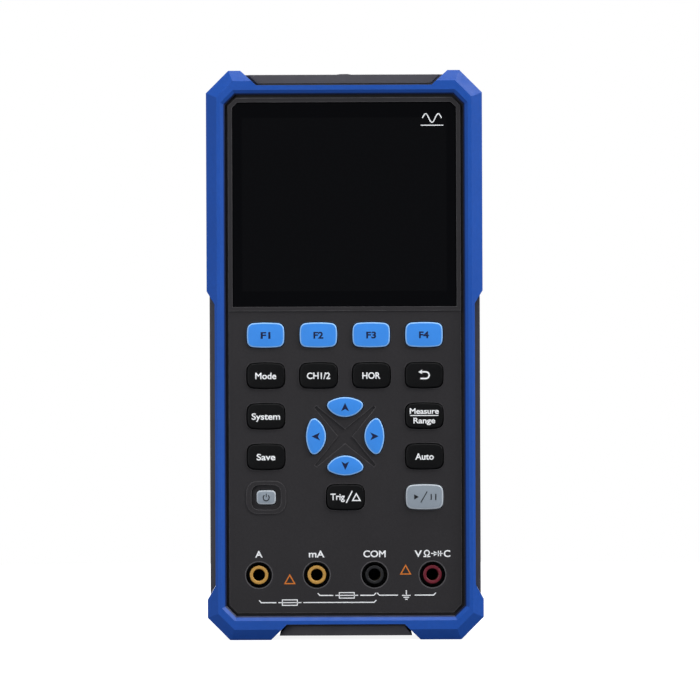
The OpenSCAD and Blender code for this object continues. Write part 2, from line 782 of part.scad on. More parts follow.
module connector_well() color("#1c1c1f") difference() {
  block([-well_x - well_t, well_y0 - well_t, well_z - well_floor_t],
        [well_x + well_t, well_y1 + well_t, tab_top]);
  block([-well_x, well_y0, well_z], [well_x, well_y1, tab_top + 1]);
  for (s = [-1, 1]) translate([s * bnc_x, well_y, well_z - 5]) cylinder(h = 6, r = bnc_tail_r + snug);
  translate([0, well_y, well_z]) cube([usb_w, usb_t, 6], center = true);
  for (s = [-1, 1]) translate([s * terminal_x, terminal_y, well_z - 5]) cylinder(h = 6, r = terminal_r);
}

// One signal socket: flange on the well's floor, barrel with two bayonet lugs, threaded tail.
module signal_socket(x) translate([x, well_y, 0]) difference() {
  union() {
    translate([0, 0, well_z]) cylinder(h = bnc_flange_t, r = bnc_flange_r);
    translate([0, 0, well_z]) cylinder(h = bnc_top - well_z, r = bnc_d / 2);
    translate([0, 0, well_z - bnc_tail_len]) cylinder(h = bnc_tail_len + 0.5, r = bnc_tail_r);
    translate([-bnc_d / 2 - lug_out, 0, bnc_top - lug_drop]) rotate([0, 90, 0])
      cylinder(h = bnc_d + 2 * lug_out, r = lug_r);
  }
  translate([0, 0, well_z + 1]) cylinder(h = well_depth, r = bnc_bore_r);
  translate([0, 0, well_z - bnc_tail_len - 1]) cylinder(h = bnc_tail_len + 3, r = insulator_r + 0.2);
}

module signal_sockets() color(steel) for (s = [-1, 1]) signal_socket(s * bnc_x);

module signal_insulators() color("#f2f0ea") for (s = [-1, 1]) translate([s * bnc_x, well_y, 0])
  difference() {
    translate([0, 0, well_z - bnc_tail_len]) cylinder(h = bnc_tail_len + 8, r = insulator_r);
    translate([0, 0, well_z - bnc_tail_len - 1]) cylinder(h = bnc_tail_len + 10, r = signal_pin_r + 0.05);
  }

module signal_contacts() color(brass) for (s = [-1, 1]) translate([s * bnc_x, well_y, 0]) difference() {
  translate([0, 0, well_z - bnc_tail_len - 2]) cylinder(h = bnc_tail_len + 9, r = signal_pin_r);
  translate([0, 0, well_z + 2]) cylinder(h = 8, r = 0.5);
}

module usb_port() color(steel) translate([0, well_y, well_z - usb_len / 2]) difference() {
  cube([usb_w - 0.1, usb_t - 0.1, usb_len], center = true);
  translate([0, 0, 1]) cube([usb_w - 2 * usb_wall, usb_t - 2 * usb_wall, usb_len], center = true);
}

module probe_terminals() color(brass) for (s = [-1, 1]) translate([s * terminal_x, terminal_y, 0]) {
  translate([0, 0, well_z - 4]) cylinder(h = 4 + terminal_h, r = terminal_r);
  translate([0, 0, well_z + terminal_h - 0.8]) cylinder(h = 0.8, r = 1.3);
}

// ---- Battery and door ----

module battery_pack() color(battery_wrap) from_back() for (s = [-1, 1])
  translate([s * pack_x / 2, cell_e + cell_d / 2 - mid_d, tub_z0 + contact_space]) {
    cylinder(h = cell_len - 1, r = cell_d / 2);
    cylinder(h = cell_len, r = 3);
  }

module battery_contacts() color(steel) from_back() for (s = [-1, 1]) {
  translate([s * pack_x / 2, cell_e + cell_d / 2 - mid_d, 0]) {
    translate([-5, -5, tub_z0]) cube([10, 10, 0.6]);
    translate([0, 0, tub_z0 + 0.5]) cylinder(h = contact_space - 0.5, r1 = 3.4, r2 = 2);
    translate([-5, -5, tub_z1 - 0.6]) cube([10, 10, 0.6]);
    translate([0, 0, tub_z1 - contact_space]) cylinder(h = contact_space - 0.5, r = 2);
  }
}

module battery_door() color(shell_black) from_back() difference() {
  slab(panel_d, door_seat_e) door_outline(0);
  for (z = door_screw_z) {
    peg(0, z, 0, door_seat_e + 1, door_screw_r + 0.15);
    peg(0, z, 0, panel_d + door_head_t + 0.1, door_head_r + 0.15);
  }
  for (i = [0:6]) slab(panel_d - 1, panel_d + 0.5)
    translate([0, door_z[1] - 14 - 2.5 * grip_groove * i]) square([22, grip_groove], center = true);
}

module door_screws() color(steel) from_back() for (z = door_screw_z)
  screw(0, z, panel_d + 0.1, door_head_t, door_t + 3, door_head_r, door_screw_r);

// ---- Stand ----

module kickstand() color(shell_black) difference() {
  union() {
    from_back() slab(stand_e, stand_e + stand_t) difference() {
      cut_rect(stand_x[1], stand_z0, hinge_z + stand_corner, stand_corner);
      translate([-stand_x[0], stand_z0 + stand_bar]) square([2 * stand_x[0], hinge_z]);
      translate([-half_w, hinge_z]) square([body_w, hinge_z]);
    }
    both_sides() translate([stand_x[0], mid_d - hinge_e, hinge_z]) rotate([0, 90, 0])
      cylinder(h = stand_x[1] - stand_x[0], r = barrel_r);
  }
  both_sides() hinge_line(hinge_pin_d / 2 + pin_gap);
  from_back() for (i = [0:3]) slab(stand_e - 1, stand_e + rib_d)
    translate([0, stand_z0 + (i + 1) * stand_bar / 5]) square([40, rib_w], center = true);
}

module hinge_pins() color(steel) both_sides() hinge_line(hinge_pin_d / 2);

front_shell();
rear_shell();
case_seal();
front_bumper();
rear_bumper();
left_grip();
right_grip();
top_trim();
bottom_trim();
case_screws();
display_lens();
lens_gasket();
lcd_panel();
lcd_bracket();
key_f1();
key_f2();
key_f3();
key_f4();
key_mode();
key_channel();
key_horizontal();
key_back();
key_system();
key_measure();
key_save();
key_auto();
key_up();
key_down();
key_left();
key_right();
key_power();
key_trigger();
key_run();
keypad_mat();
switch_domes();
main_board();
shield_can();
board_chips();
buzzer();
meter_board();
fuses();
fuse_clips();
jack_block();
jack_sleeve_amp();
jack_sleeve_milliamp();
jack_sleeve_common();
jack_sleeve_volt();
jack_contacts();
connector_well();
signal_sockets();
signal_insulators();
signal_contacts();
usb_port();
probe_terminals();
battery_pack();
battery_contacts();
battery_door();
door_screws();
kickstand();
hinge_pins();
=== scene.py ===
"""Looks of the handheld oscilloscope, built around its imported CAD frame.

Lengths are in metres. The case stands upright with its front panel facing -Y.
"""
import math

import bmesh
import bpy
from mathutils import Matrix, Vector, geometry


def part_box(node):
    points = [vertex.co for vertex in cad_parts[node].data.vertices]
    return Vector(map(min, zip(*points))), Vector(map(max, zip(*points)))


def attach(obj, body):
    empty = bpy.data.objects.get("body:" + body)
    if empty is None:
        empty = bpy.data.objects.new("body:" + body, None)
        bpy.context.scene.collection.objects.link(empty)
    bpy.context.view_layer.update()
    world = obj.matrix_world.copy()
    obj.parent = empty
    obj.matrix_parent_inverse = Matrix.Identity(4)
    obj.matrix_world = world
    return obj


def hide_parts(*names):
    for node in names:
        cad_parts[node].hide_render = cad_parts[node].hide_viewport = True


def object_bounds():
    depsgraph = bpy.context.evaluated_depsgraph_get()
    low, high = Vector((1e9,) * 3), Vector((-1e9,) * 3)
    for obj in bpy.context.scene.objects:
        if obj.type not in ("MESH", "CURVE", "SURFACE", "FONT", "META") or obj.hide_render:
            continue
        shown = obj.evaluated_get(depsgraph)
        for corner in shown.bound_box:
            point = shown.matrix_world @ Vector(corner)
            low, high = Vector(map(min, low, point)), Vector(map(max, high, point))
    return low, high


MM = 0.001
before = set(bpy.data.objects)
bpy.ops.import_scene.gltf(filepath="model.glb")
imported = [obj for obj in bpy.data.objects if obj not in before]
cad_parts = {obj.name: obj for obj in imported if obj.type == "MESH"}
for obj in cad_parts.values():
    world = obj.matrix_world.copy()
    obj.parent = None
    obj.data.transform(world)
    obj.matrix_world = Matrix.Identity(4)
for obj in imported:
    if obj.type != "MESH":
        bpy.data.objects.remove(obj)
cad_low, cad_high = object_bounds()


# ---- Camera, light and floor ----

OBJECT_SHARE = 0.8145      # how much of the picture's height the case fills
AIM_RIGHT = 1.8 * MM       # the case sits a little left of the middle and a little low
AIM_UP = 1.75 * MM
CAMERA_ROLL = 0.22         # degrees
LENS = 250
SENSOR = 36
FLOOR_RADIUS = 0.6
FLOOR_GAP = 0.05 * MM


def make_camera():
    """A long lens looking straight at the front panel."""
    height = cad_high.z - cad_low.z
    centre = (cad_low + cad_high) / 2
    data = bpy.data.cameras.new("camera")
    data.lens = LENS
    data.sensor_width = SENSOR
    data.clip_end = 20
    distance = height / OBJECT_SHARE * LENS / SENSOR
    camera = bpy.data.objects.new("camera", data)
    bpy.context.collection.objects.link(camera)
    place = Matrix.Translation((centre.x + AIM_RIGHT, cad_low.y - distance, centre.z + AIM_UP))
    turn = Matrix.Rotation(math.radians(90), 4, "X") @ Matrix.Rotation(math.radians(-CAMERA_ROLL), 4, "Z")
    camera.matrix_world = place @ turn
    bpy.context.scene.camera = camera


def make_light(name, place, size, power, tint=(1, 1, 1)):
    """A soft box aimed at the middle of the case."""
    data = bpy.data.lights.new(name, "AREA")
    data.shape = "RECTANGLE"
    data.size, data.size_y = size
    data.energy = power
    data.color = tint
    lamp = bpy.data.objects.new(name, data)
    bpy.context.collection.objects.link(lamp)
    target = (cad_low + cad_high) / 2
    lamp.location = place
    lamp.rotation_euler = (target - Vector(place)).to_track_quat("-Z", "Y").to_euler()


def make_world():
    """White to the camera, grey to everything else, so that gloss stays dark."""
    world = bpy.data.worlds.new("studio")
    bpy.context.scene.world = world
    world.use_nodes = True
    nodes, links = world.node_tree.nodes, world.node_tree.links
    nodes.clear()
    out = nodes.new("ShaderNodeOutputWorld")
    mix = nodes.new("ShaderNodeMixShader")
    path = nodes.new("ShaderNodeLightPath")
    seen = nodes.new("ShaderNodeBackground")
    seen.inputs["Strength"].default_value = 1.0
    seen.inputs["Color"].default_value = (1, 1, 1, 1)
    ambient = nodes.new("ShaderNodeBackground")
    ambient.inputs["Color"].default_value = (0.9, 0.95, 1, 1)
    ambient.inputs["Strength"].default_value = 0.22
    links.new(path.outputs["Is Camera Ray"], mix.inputs[0])
    links.new(ambient.outputs[0], mix.inputs[1])
    links.new(seen.outputs[0], mix.inputs[2])
    links.new(mix.outputs[0], out.inputs["Surface"])


def make_floor():
    """A round pale floor."""
    mesh = bpy.data.meshes.new("floor")
    shape = bmesh.new()
    bmesh.ops.create_circle(shape, cap_ends=True, segments=96, radius=FLOOR_RADIUS)
    bmesh.ops.translate(shape, verts=shape.verts, vec=(0, 0, cad_low.z - FLOOR_GAP))
    shape.to_mesh(mesh)
    shape.free()
    floor = bpy.data.objects.new("floor", mesh)
    bpy.context.collection.objects.link(floor)
    floor.data.materials.append(floor_white())


# ---- Materials ----

def linear(value):
    """One sRGB channel, 0 to 255, as scene light."""
    v = value / 255
    return v / 12.92 if v <= 0.04045 else ((v + 0.055) / 1.055) ** 2.4


def rgb(red, green, blue):
    return (linear(red), linear(green), linear(blue), 1)


def shaded(colour, factor):
    return tuple(min(1, c * factor) for c in colour[:3]) + (1,)


def floor_white():
    """Pale and matte, and brightened for the camera alone, so that it runs into the background."""
    material = bpy.data.materials.new("floor_white")
    material.use_nodes = True
    nodes, links = material.node_tree.nodes, material.node_tree.links
    shader = nodes["Principled BSDF"]
    shader.inputs["Base Color"].default_value = (0.22, 0.22, 0.23, 1)
    shader.inputs["Roughness"].default_value = 0.9
    path = nodes.new("ShaderNodeLightPath")
    glow = nodes.new("ShaderNodeMath")
    glow.operation = "MULTIPLY"
    glow.inputs[1].default_value = 0.9
    links.new(path.outputs["Is Camera Ray"], glow.inputs[0])
    links.new(glow.outputs[0], shader.inputs["Emission Strength"])
    shader.inputs["Emission Color"].default_value = (1, 1, 1, 1)
    return material


class Surface:
    """A principled material under construction, in the object's own coordinates."""

    def __init__(self, name, colour, roughness, **sockets):
        self.material = bpy.data.materials.new(name)
        self.material.use_nodes = True
        self.nodes = self.material.node_tree.nodes
        self.links = self.material.node_tree.links
        self.shader = self.nodes["Principled BSDF"]
        self.shader.inputs["Base Color"].default_value = colour
        self.shader.inputs["Roughness"].default_value = roughness
        for socket, value in sockets.items():
            self.shader.inputs[socket.replace("_", " ")].default_value = value
        self.coords = self.nodes.new("ShaderNodeTexCoord").outputs["Object"]
        self.colour = None
        self.base = colour
        self.normal = None

    def noise(self, size, detail=3, stretch=(1, 1, 1)):
        """Noise whose features are about size metres across."""
        mapping = self.nodes.new("ShaderNodeMapping")
        mapping.inputs["Scale"].default_value = tuple(s / size for s in stretch)
        self.links.new(self.coords, mapping.inputs["Vector"])
        noise = self.nodes.new("ShaderNodeTexNoise")
        noise.inputs["Scale"].default_value = 1
        noise.inputs["Detail"].default_value = detail
        self.links.new(mapping.outputs[0], noise.inputs["Vector"])
        return noise.outputs[0]

    def remap(self, value, low, high, start=0.3, end=0.7):
        ramp = self.nodes.new("ShaderNodeMapRange")
        for socket, number in zip(("From Min", "From Max", "To Min", "To Max"), (start, end, low, high)):
            ramp.inputs[socket].default_value = number
        self.links.new(value, ramp.inputs["Value"])
        return ramp.outputs[0]

    def tint(self, mask, colour):
        """Mixes a colour over what is there, where the mask is 1."""
        mix = self.nodes.new("ShaderNodeMix")
        mix.data_type = "RGBA"
        self.links.new(mask, mix.inputs[0])
        if self.colour is None:
            mix.inputs[6].default_value = self.base
        else:
            self.links.new(self.colour, mix.inputs[6])
        mix.inputs[7].default_value = colour
        self.colour = mix.outputs[2]
        self.links.new(self.colour, self.shader.inputs["Base Color"])
        return self

    def mottle(self, size, factor, amount=1):
        """Slow drift of the colour towards a lighter or darker shade."""
        return self.tint(self.remap(self.noise(size), 0, amount), shaded(self.base, factor))

    def math(self, operation, first, second):
        """One sum; each input is a socket or a number."""
        node = self.nodes.new("ShaderNodeMath")
        node.operation = operation
        for socket, value in zip(node.inputs, (first, second)):
            if isinstance(value, bpy.types.NodeSocket):
                self.links.new(value, socket)
            else:
                socket.default_value = value
        return node.outputs[0]

    def octagon(self, centre, width, height, cut):
        """Distance in X and Z outside a rectangle with 45 degree corners, less than 0 inside it."""
        split = self.nodes.new("ShaderNodeSeparateXYZ")
        self.links.new(self.coords, split.inputs[0])
        sizes = []
        for axis, middle in (("X", centre.x), ("Z", centre.z)):
            sizes.append(self.math("ABSOLUTE", self.math("SUBTRACT", split.outputs[axis], middle), 0))
        side = self.math("SUBTRACT", sizes[0], width / 2)
        end = self.math("SUBTRACT", sizes[1], height / 2)
        corner = self.math("MULTIPLY", self.math("ADD", self.math("ADD", side, end), cut), math.sqrt(0.5))
        return self.math("MAXIMUM", self.math("MAXIMUM", side, end), corner if cut else side)

    def rough(self, size, low, high):
        self.links.new(self.remap(self.noise(size), low, high), self.shader.inputs["Roughness"])
        return self

    def grain(self, size, height, detail=2, stretch=(1, 1, 1)):
        """Fine relief; height is in metres."""
        bump = self.nodes.new("ShaderNodeBump")
        bump.inputs["Distance"].default_value = height
        self.links.new(self.noise(size, detail, stretch), bump.inputs["Height"])
        if self.normal is not None:
            self.links.new(self.normal, bump.inputs["Normal"])
        self.normal = bump.outputs[0]
        self.links.new(self.normal, self.shader.inputs["Normal"])
        return self

    def wear_and_highlight(self, colour, amount, reach=0.35 * MM):
        """Rubs the edges towards a colour, in patches, within a short reach of them: partly wear, partly
        a painted highlight along the edges.
        """
        shape = self.nodes.new("ShaderNodeNewGeometry")
        rounded = self.nodes.new("ShaderNodeBevel")
        rounded.samples = 4
        rounded.inputs["Radius"].default_value = reach
        facing = self.nodes.new("ShaderNodeVectorMath")
        facing.operation = "DOT_PRODUCT"
        self.links.new(shape.outputs["Normal"], facing.inputs[0])
        self.links.new(rounded.outputs[0], facing.inputs[1])
        edge = self.remap(facing.outputs["Value"], amount, 0, 0.8, 0.985)
        patch = self.remap(self.noise(4 * MM), 0.35, 1)
        both = self.nodes.new("ShaderNodeMath")
        both.operation = "MULTIPLY"
        both.use_clamp = True
        self.links.new(edge, both.inputs[0])
        self.links.new(patch, both.inputs[1])
        return self.tint(both.outputs[0], colour)


def shell_plastic():
    base = rgb(41, 39, 41)
    return (Surface("shell_plastic", base, 0.5, Specular_IOR_Level=0.25)
            .mottle(18 * MM, 1.16).mottle(0.7 * MM, 0.86, 0.6)
            .rough(1.2 * MM, 0.46, 0.6)
            .grain(0.45 * MM, 0.02 * MM).grain(0.16 * MM, 0.01 * MM)
            # Lighter grey edges: partly wear, partly painted highlight.
            .wear_and_highlight(rgb(104, 102, 104), 0.85, 0.4 * MM).material)


OPENING_W = 82.8 * MM      # the opening in the front of the frame
OPENING_H = 181.2 * MM
OPENING_CUT = 3.5 * MM


def frame_rubber():
    """Satin blue, with painted shade: navy on the lip around the front opening, where its inner slope
    lies in shadow.
    """
    base = rgb(24, 78, 168)
    surface = Surface("frame_rubber", base, 0.42, Specular_IOR_Level=0.28)
    # Light blue edges: partly wear, partly painted highlight.
    surface.mottle(22 * MM, 1.1).mottle(1.1 * MM, 0.93, 0.6).wear_and_highlight(rgb(84, 124, 200), 0.45)
    # Painted shade: navy on the frame up to 0.7 mm from the opening's edge, for the shadow on the lip's
    # inner slope.
    edge = surface.octagon((cad_low + cad_high) / 2, OPENING_W, OPENING_H, OPENING_CUT)
    surface.tint(surface.remap(edge, 1, 0, 0.3 * MM, 0.7 * MM), rgb(4, 22, 62))
    return surface.rough(2.5 * MM, 0.38, 0.5).grain(0.5 * MM, 0.012 * MM).material


def trim_plastic():
    base = rgb(72, 70, 74)
    return (Surface("trim_plastic", base, 0.48, Specular_IOR_Level=0.4)
            .mottle(9 * MM, 1.14).rough(1.5 * MM, 0.42, 0.58)
            .grain(0.4 * MM, 0.02 * MM)
            # Lighter grey edges: partly wear, partly painted highlight.
            .wear_and_highlight(rgb(120, 120, 124), 0.5).material)


def silicone(name, base, rim, speck=1.12, gloss=0.35):
    return (Surface(name, base, 0.46, Specular_IOR_Level=gloss)
            .mottle(3 * MM, speck, 0.5).rough(0.8 * MM, 0.4, 0.54)
            .grain(0.3 * MM, 0.008 * MM)
            # Edges in the rim colour: partly wear, partly painted highlight.
            .wear_and_highlight(rim, 0.35).material)


def print_ink(name, base):
    return (Surface(name, base, 0.55, Specular_IOR_Level=0.3)
            .mottle(0.8 * MM, 0.9, 0.7).grain(0.25 * MM, 0.006 * MM).material)


def window_gloss():
    """Black window; the picture area behind it is a shade lighter than its printed border."""
    low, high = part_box("display_lens")
    surface = Surface("window_gloss", rgb(5, 5, 7), 0.06, Specular_IOR_Level=0.12)
    edge = surface.octagon((low + high) / 2, high.x - low.x - 7 * MM, high.z - low.z - 11 * MM, 0)
    surface.tint(surface.remap(edge, 1, 0, 0, 0.3 * MM), rgb(9, 9, 11))
    surface.rough(9 * MM, 0.05, 0.09)
    return surface.grain(6 * MM, 0.004 * MM).material


def metal(name, base, roughness, stretch=(1, 1, 1)):
    return (Surface(name, base, roughness, Metallic=1.0)
            .mottle(2 * MM, 0.82, 0.7).rough(0.7 * MM, roughness - 0.06, roughness + 0.1)
            .grain(0.3 * MM, 0.006 * MM, 2, stretch).material)


def moulded(name, base, roughness=0.4):
    return (Surface(name, base, roughness, Specular_IOR_Level=0.45)
            .mottle(4 * MM, 1.12).rough(0.9 * MM, roughness - 0.05, roughness + 0.08)
            # Edges at 1.8 times the base colour: partly wear, partly painted highlight.
            .grain(0.3 * MM, 0.01 * MM).wear_and_highlight(shaded(base, 1.8), 0.4).material)


def circuit_board():
    return (Surface("circuit_board", rgb(24, 82, 50), 0.4, Specular_IOR_Level=0.5)
            .mottle(3 * MM, 0.7).mottle(0.9 * MM, 1.5, 0.5)
            .grain(0.7 * MM, 0.03 * MM).material)


# ---- CAD pieces ----

EDGE_ANGLE = 28            # edges sharper than this, in degrees, are rounded


def soften(piece, width, segments):
    """Merges the mesh's flat facets, cuts them into even triangles, then rounds the edges."""
    weld = piece.modifiers.new("weld", "WELD")
    weld.merge_threshold = 0.002 * MM
    flat = piece.modifiers.new("flat", "DECIMATE")
    flat.decimate_type = "DISSOLVE"
    flat.angle_limit = math.radians(0.5)
    cut = piece.modifiers.new("cut", "TRIANGULATE")
    cut.ngon_method = "BEAUTY"
    bevel = piece.modifiers.new("edges", "BEVEL")
    bevel.width = width
    bevel.segments = segments
    bevel.limit_method = "ANGLE"
    bevel.angle_limit = math.radians(EDGE_ANGLE)
    bevel.use_clamp_overlap = True
    bevel.harden_normals = True
    bevel.miter_outer = "MITER_ARC"
    even = piece.modifiers.new("even", "WEIGHTED_NORMAL")
    even.weight = 100
    even.keep_sharp = True


def dress(node, material, width=0, segments=2):
    """Gives a CAD node its material and rounded edges."""
    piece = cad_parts[node]
    piece.data.materials.clear()
    piece.data.materials.append(material)
    if width:
        soften(piece, width, segments)
    return piece


bpy.context.scene.view_settings.view_transform = "Standard"
make_camera()
make_world()
make_floor()
make_light("key_light", (1.5, -0.8, 1.2), (0.9, 0.9), 26)
make_light("fill_light", (-1.0, -1.5, 0.35), (0.9, 1.2), 12, (0.95, 0.97, 1))
make_light("top_light", (0.1, -0.5, 1.6), (1.4, 1.0), 17)
make_light("back_light", (-0.5, 1.5, 0.9), (1.2, 1.0), 30)

SHELL = shell_plastic()
FRAME = frame_rubber()
TRIM = trim_plastic()
WINDOW = window_gloss()
BLUE = silicone("key_blue", rgb(56, 140, 232), rgb(150, 196, 246), 1.06)
# Painted highlight: the pale blue on the blue keys' rounded rims stands in for the light they catch.
BLUE_RIM_HIGHLIGHT = silicone("key_blue_rim_highlight", rgb(140, 190, 245), rgb(180, 212, 250), 1.04)
# Dark navy on the blue keys' sides: partly the skirt's darker silicone, partly painted shade of the gap
# around each key.
BLUE_SKIRT_SHADE = silicone("key_blue_skirt_shade", rgb(8, 40, 100), rgb(20, 60, 130))
BLACK = silicone("key_black", rgb(7, 7, 8), rgb(40, 40, 43), 1.2, 0.15)
GREY = silicone("key_grey", rgb(142, 152, 162), rgb(190, 198, 206), 1.05)
# Painted highlight: the pale grey on the grey keys' rounded rims stands in for the light they catch.
GREY_RIM_HIGHLIGHT = silicone("key_grey_rim_highlight", rgb(186, 193, 200), rgb(210, 214, 220), 1.03)
WHITE_INK = print_ink("white_ink", rgb(246, 247, 248))
NAVY_INK = print_ink("navy_ink", rgb(10, 24, 66))
# Painted highlight: the light grey of the thin rings around the socket recesses.
RIM_HIGHLIGHT = print_ink("rim_highlight", rgb(88, 86, 88))
DARK_INK = print_ink("dark_ink", rgb(24, 26, 30))
SEAL = moulded("seal_rubber", rgb(18, 18, 19), 0.6)
DARK = moulded("dark_plastic", rgb(20, 20, 22))
PALE = moulded("pale_plastic", rgb(214, 214, 206), 0.5)
SIGN_INK = print_ink("sign_ink", rgb(214, 120, 40))
AMBER = moulded("amber_plastic", rgb(188, 142, 66), 0.36)
RED = moulded("red_plastic", rgb(104, 22, 38), 0.32)
STEEL = metal("steel", (0.5, 0.51, 0.53, 1), 0.35, (1, 6, 1))
NICKEL = metal("nickel", (0.62, 0.61, 0.58, 1), 0.24)
BRASS = metal("brass", (0.72, 0.5, 0.2, 1), 0.3)
OLD_BRASS = metal("tarnished_brass", (0.1, 0.075, 0.04, 1), 0.45)
GOLD = metal("gold_plate", (0.83, 0.6, 0.25, 1), 0.24)
BOARD = circuit_board()
FILM = moulded("battery_film", rgb(38, 96, 108), 0.3)
CERAMIC = moulded("fuse_ceramic", rgb(226, 218, 198), 0.45)

for node in ("front_bumper", "rear_bumper"):
    dress(node, FRAME, 0.5 * MM, 3)
for node in ("front_shell", "rear_shell"):
    dress(node, SHELL, 0.18 * MM)
dress("battery_door", SHELL, 0.16 * MM)
dress("kickstand", SHELL, 0.2 * MM)
for node in ("left_grip", "right_grip", "top_trim", "bottom_trim"):
    dress(node, TRIM, 0.22 * MM)
dress("display_lens", WINDOW, 0.2 * MM)
for node in ("case_seal", "lens_gasket", "keypad_mat"):
    dress(node, SEAL)
for node in ("jack_block", "connector_well", "lcd_panel", "board_chips", "buzzer"):
    dress(node, DARK, 0.15 * MM)
for node in ("jack_sleeve_amp", "jack_sleeve_milliamp"):
    dress(node, AMBER, 0.3 * MM, 3)
dress("jack_sleeve_common", DARK, 0.3 * MM)
dress("jack_sleeve_volt", RED, 0.3 * MM, 3)
dress("jack_contacts", OLD_BRASS, 0.15 * MM)
dress("lcd_bracket", PALE, 0.1 * MM)
dress("signal_insulators", PALE, 0.15 * MM)
dress("signal_sockets", NICKEL, 0.2 * MM)
dress("signal_contacts", GOLD, 0.1 * MM)
dress("probe_terminals", GOLD, 0.15 * MM)
for node in ("usb_port", "shield_can", "battery_contacts", "switch_domes", "hinge_pins"):
    dress(node, STEEL, 0.08 * MM)
for node in ("case_screws", "door_screws"):
    dress(node, STEEL, 0.12 * MM)
for node in ("main_board", "meter_board"):
    dress(node, BOARD, 0.1 * MM)
dress("battery_pack", FILM, 0.3 * MM)
dress("fuses", CERAMIC, 0.15 * MM)
dress("fuse_clips", BRASS, 0.1 * MM)


# ---- Keys ----

KEY_MIDDLE = {}            # node: the middle of its outline, and the y of its face
FILLET = 0.45 * MM
CROWN = 0.14 * MM
CAP_DEPTH = 1.2 * MM       # how far back from its face a key's outline is read
STEM_RADIUS = 1.95 * MM
RING_POINTS = 72
RIM_STEPS = 5
FACE_STEPS = (0.93, 0.8, 0.6, 0.35, 0.12)


def face_depth(node):
    """The y of a key's front face."""
    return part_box(node)[0].y


def cap_outline(node):
    """The middle of a key's cap and its outline around it, anticlockwise from the CAD cap."""
    cap_back = face_depth(node) + CAP_DEPTH
    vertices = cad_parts[node].data.vertices
    cap = [Vector((v.co.x, v.co.z)) for v in vertices if v.co.y < cap_back]
    outline = [cap[i] for i in geometry.convex_hull_2d(cap)]
    spans = [(min(p[i] for p in outline), max(p[i] for p in outline)) for i in (0, 1)]
    middle = Vector([sum(span) / 2 for span in spans])
    return middle, sorted((p - middle for p in outline), key=lambda p: math.atan2(p.y, p.x))


def even_ring(points, count):
    """The same outline with evenly spaced points."""
    loop = points + points[:1]
    lengths = [0]
    for a, b in zip(loop, loop[1:]):
        lengths.append(lengths[-1] + (b - a).length)
    result = []
    i = 0
    for k in range(count):
        target = lengths[-1] * k / count
        while lengths[i + 1] < target:
            i += 1
        share = (target - lengths[i]) / (lengths[i + 1] - lengths[i])
        result.append(loop[i].lerp(loop[i + 1], share))
    return result


def grown(ring, distance):
    """Moves a convex outline along its normals; a negative distance moves it inwards."""
    count = len(ring)
    moved = []
    for i, point in enumerate(ring):
        along = ring[(i + 1) % count] - ring[i - 1]
        normal = Vector((along.y, -along.x)).normalized()
        moved.append(point + normal * distance)
    return moved


def loft(name, rings, materials, picks):
    """A closed mesh through rings of (x, y, z) points; picks gives each band's material index."""
    mesh = bpy.data.meshes.new(name)
    shape = bmesh.new()
    rows = [[shape.verts.new(p) for p in ring] for ring in rings]
    for band, (a, b) in enumerate(zip(rows, rows[1:])):
        for i in range(len(a)):
            j = (i + 1) % len(a)
            face = shape.faces.new((a[i], a[j], b[j], b[i]))
            face.material_index = picks[band]
    for row in (rows[0], rows[-1]):
        shape.faces.new(row).material_index = picks[0] if row is rows[0] else picks[-1]
    bmesh.ops.recalc_face_normals(shape, faces=shape.faces)
    shape.to_mesh(mesh)
    shape.free()
    mesh.shade_smooth()
    mesh.set_sharp_from_angle(angle=math.radians(50))
    for material in materials:
        mesh.materials.append(material)
    piece = bpy.data.objects.new(name, mesh)
    bpy.context.collection.objects.link(piece)
    return piece


def make_key(node, skirt, rim, face):
    """A moulded key: stem, flange, skirt, rounded rim and a slightly crowned face."""
    middle, outline = cap_outline(node)
    front = face_depth(node)
    low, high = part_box(node)
    wide = high.x - low.x
    flange = (wide - 2 * max(p.x for p in outline)) / 2
    ring = even_ring(outline, RING_POINTS)
    depths = sorted({round(v.co.y, 6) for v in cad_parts[node].data.vertices})
    flange_front, flange_back, stem_end = depths[-3], depths[-2], depths[-1]

    def at(flat, y):
        return [(middle.x + p.x, y, middle.y + p.y) for p in flat]

    stem = [p.normalized() * STEM_RADIUS for p in ring]
    rings = [at(stem, stem_end), at(stem, flange_back),
             at(grown(ring, flange), flange_back), at(grown(ring, flange), flange_front),
             at(ring, flange_front), at(ring, front + FILLET + CROWN)]
    # The stem, flange, skirt and first rim step take the skirt material, which on the blue keys is partly
    # painted shade.
    picks = [0, 0, 0, 0, 0]
    for k in range(1, RIM_STEPS + 1):
        turn = math.pi / 2 * k / RIM_STEPS
        inset = FILLET * (1 - math.cos(turn))
        rings.append(at(grown(ring, -inset), front + CROWN + FILLET * (1 - math.sin(turn))))
        # Rim steps after the first take the rim material, a painted highlight on the blue and grey keys.
        picks.append(1 if k > 1 else 0)
    inner = grown(ring, -FILLET)
    for share in FACE_STEPS:
        rings.append(at([p * share for p in inner], front + CROWN * share * share))
        picks.append(2)
    piece = loft(node + "_cap", rings, (skirt, rim, face), picks)
    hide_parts(node)
    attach(piece, node)
    KEY_MIDDLE[node] = (middle, front)
    return piece


for node in ("key_f1", "key_f2", "key_f3", "key_f4", "key_up", "key_down", "key_left", "key_right"):
    make_key(node, BLUE_SKIRT_SHADE, BLUE_RIM_HIGHLIGHT, BLUE)
for node in ("key_mode", "key_channel", "key_horizontal", "key_back", "key_system", "key_measure",
             "key_save", "key_auto", "key_trigger"):
    make_key(node, BLACK, BLACK, BLACK)
make_key("key_power", BLACK, GREY_RIM_HIGHLIGHT, GREY)
make_key("key_run", GREY, GREY_RIM_HIGHLIGHT, GREY)


# ---- Printed marks ----

PRINT_UP = 0.02 * MM       # how far printed marks and painted highlight marks stand above their surface
PRINT_DEEP = 0.1 * MM
CAP_HEIGHT = 0.729         # height of a capital at a font size of 1
WORD_BOLD = 0.023          # how far letter outlines are thickened, as a share of the font size
BLUE_KEY_BOLD = 0.032


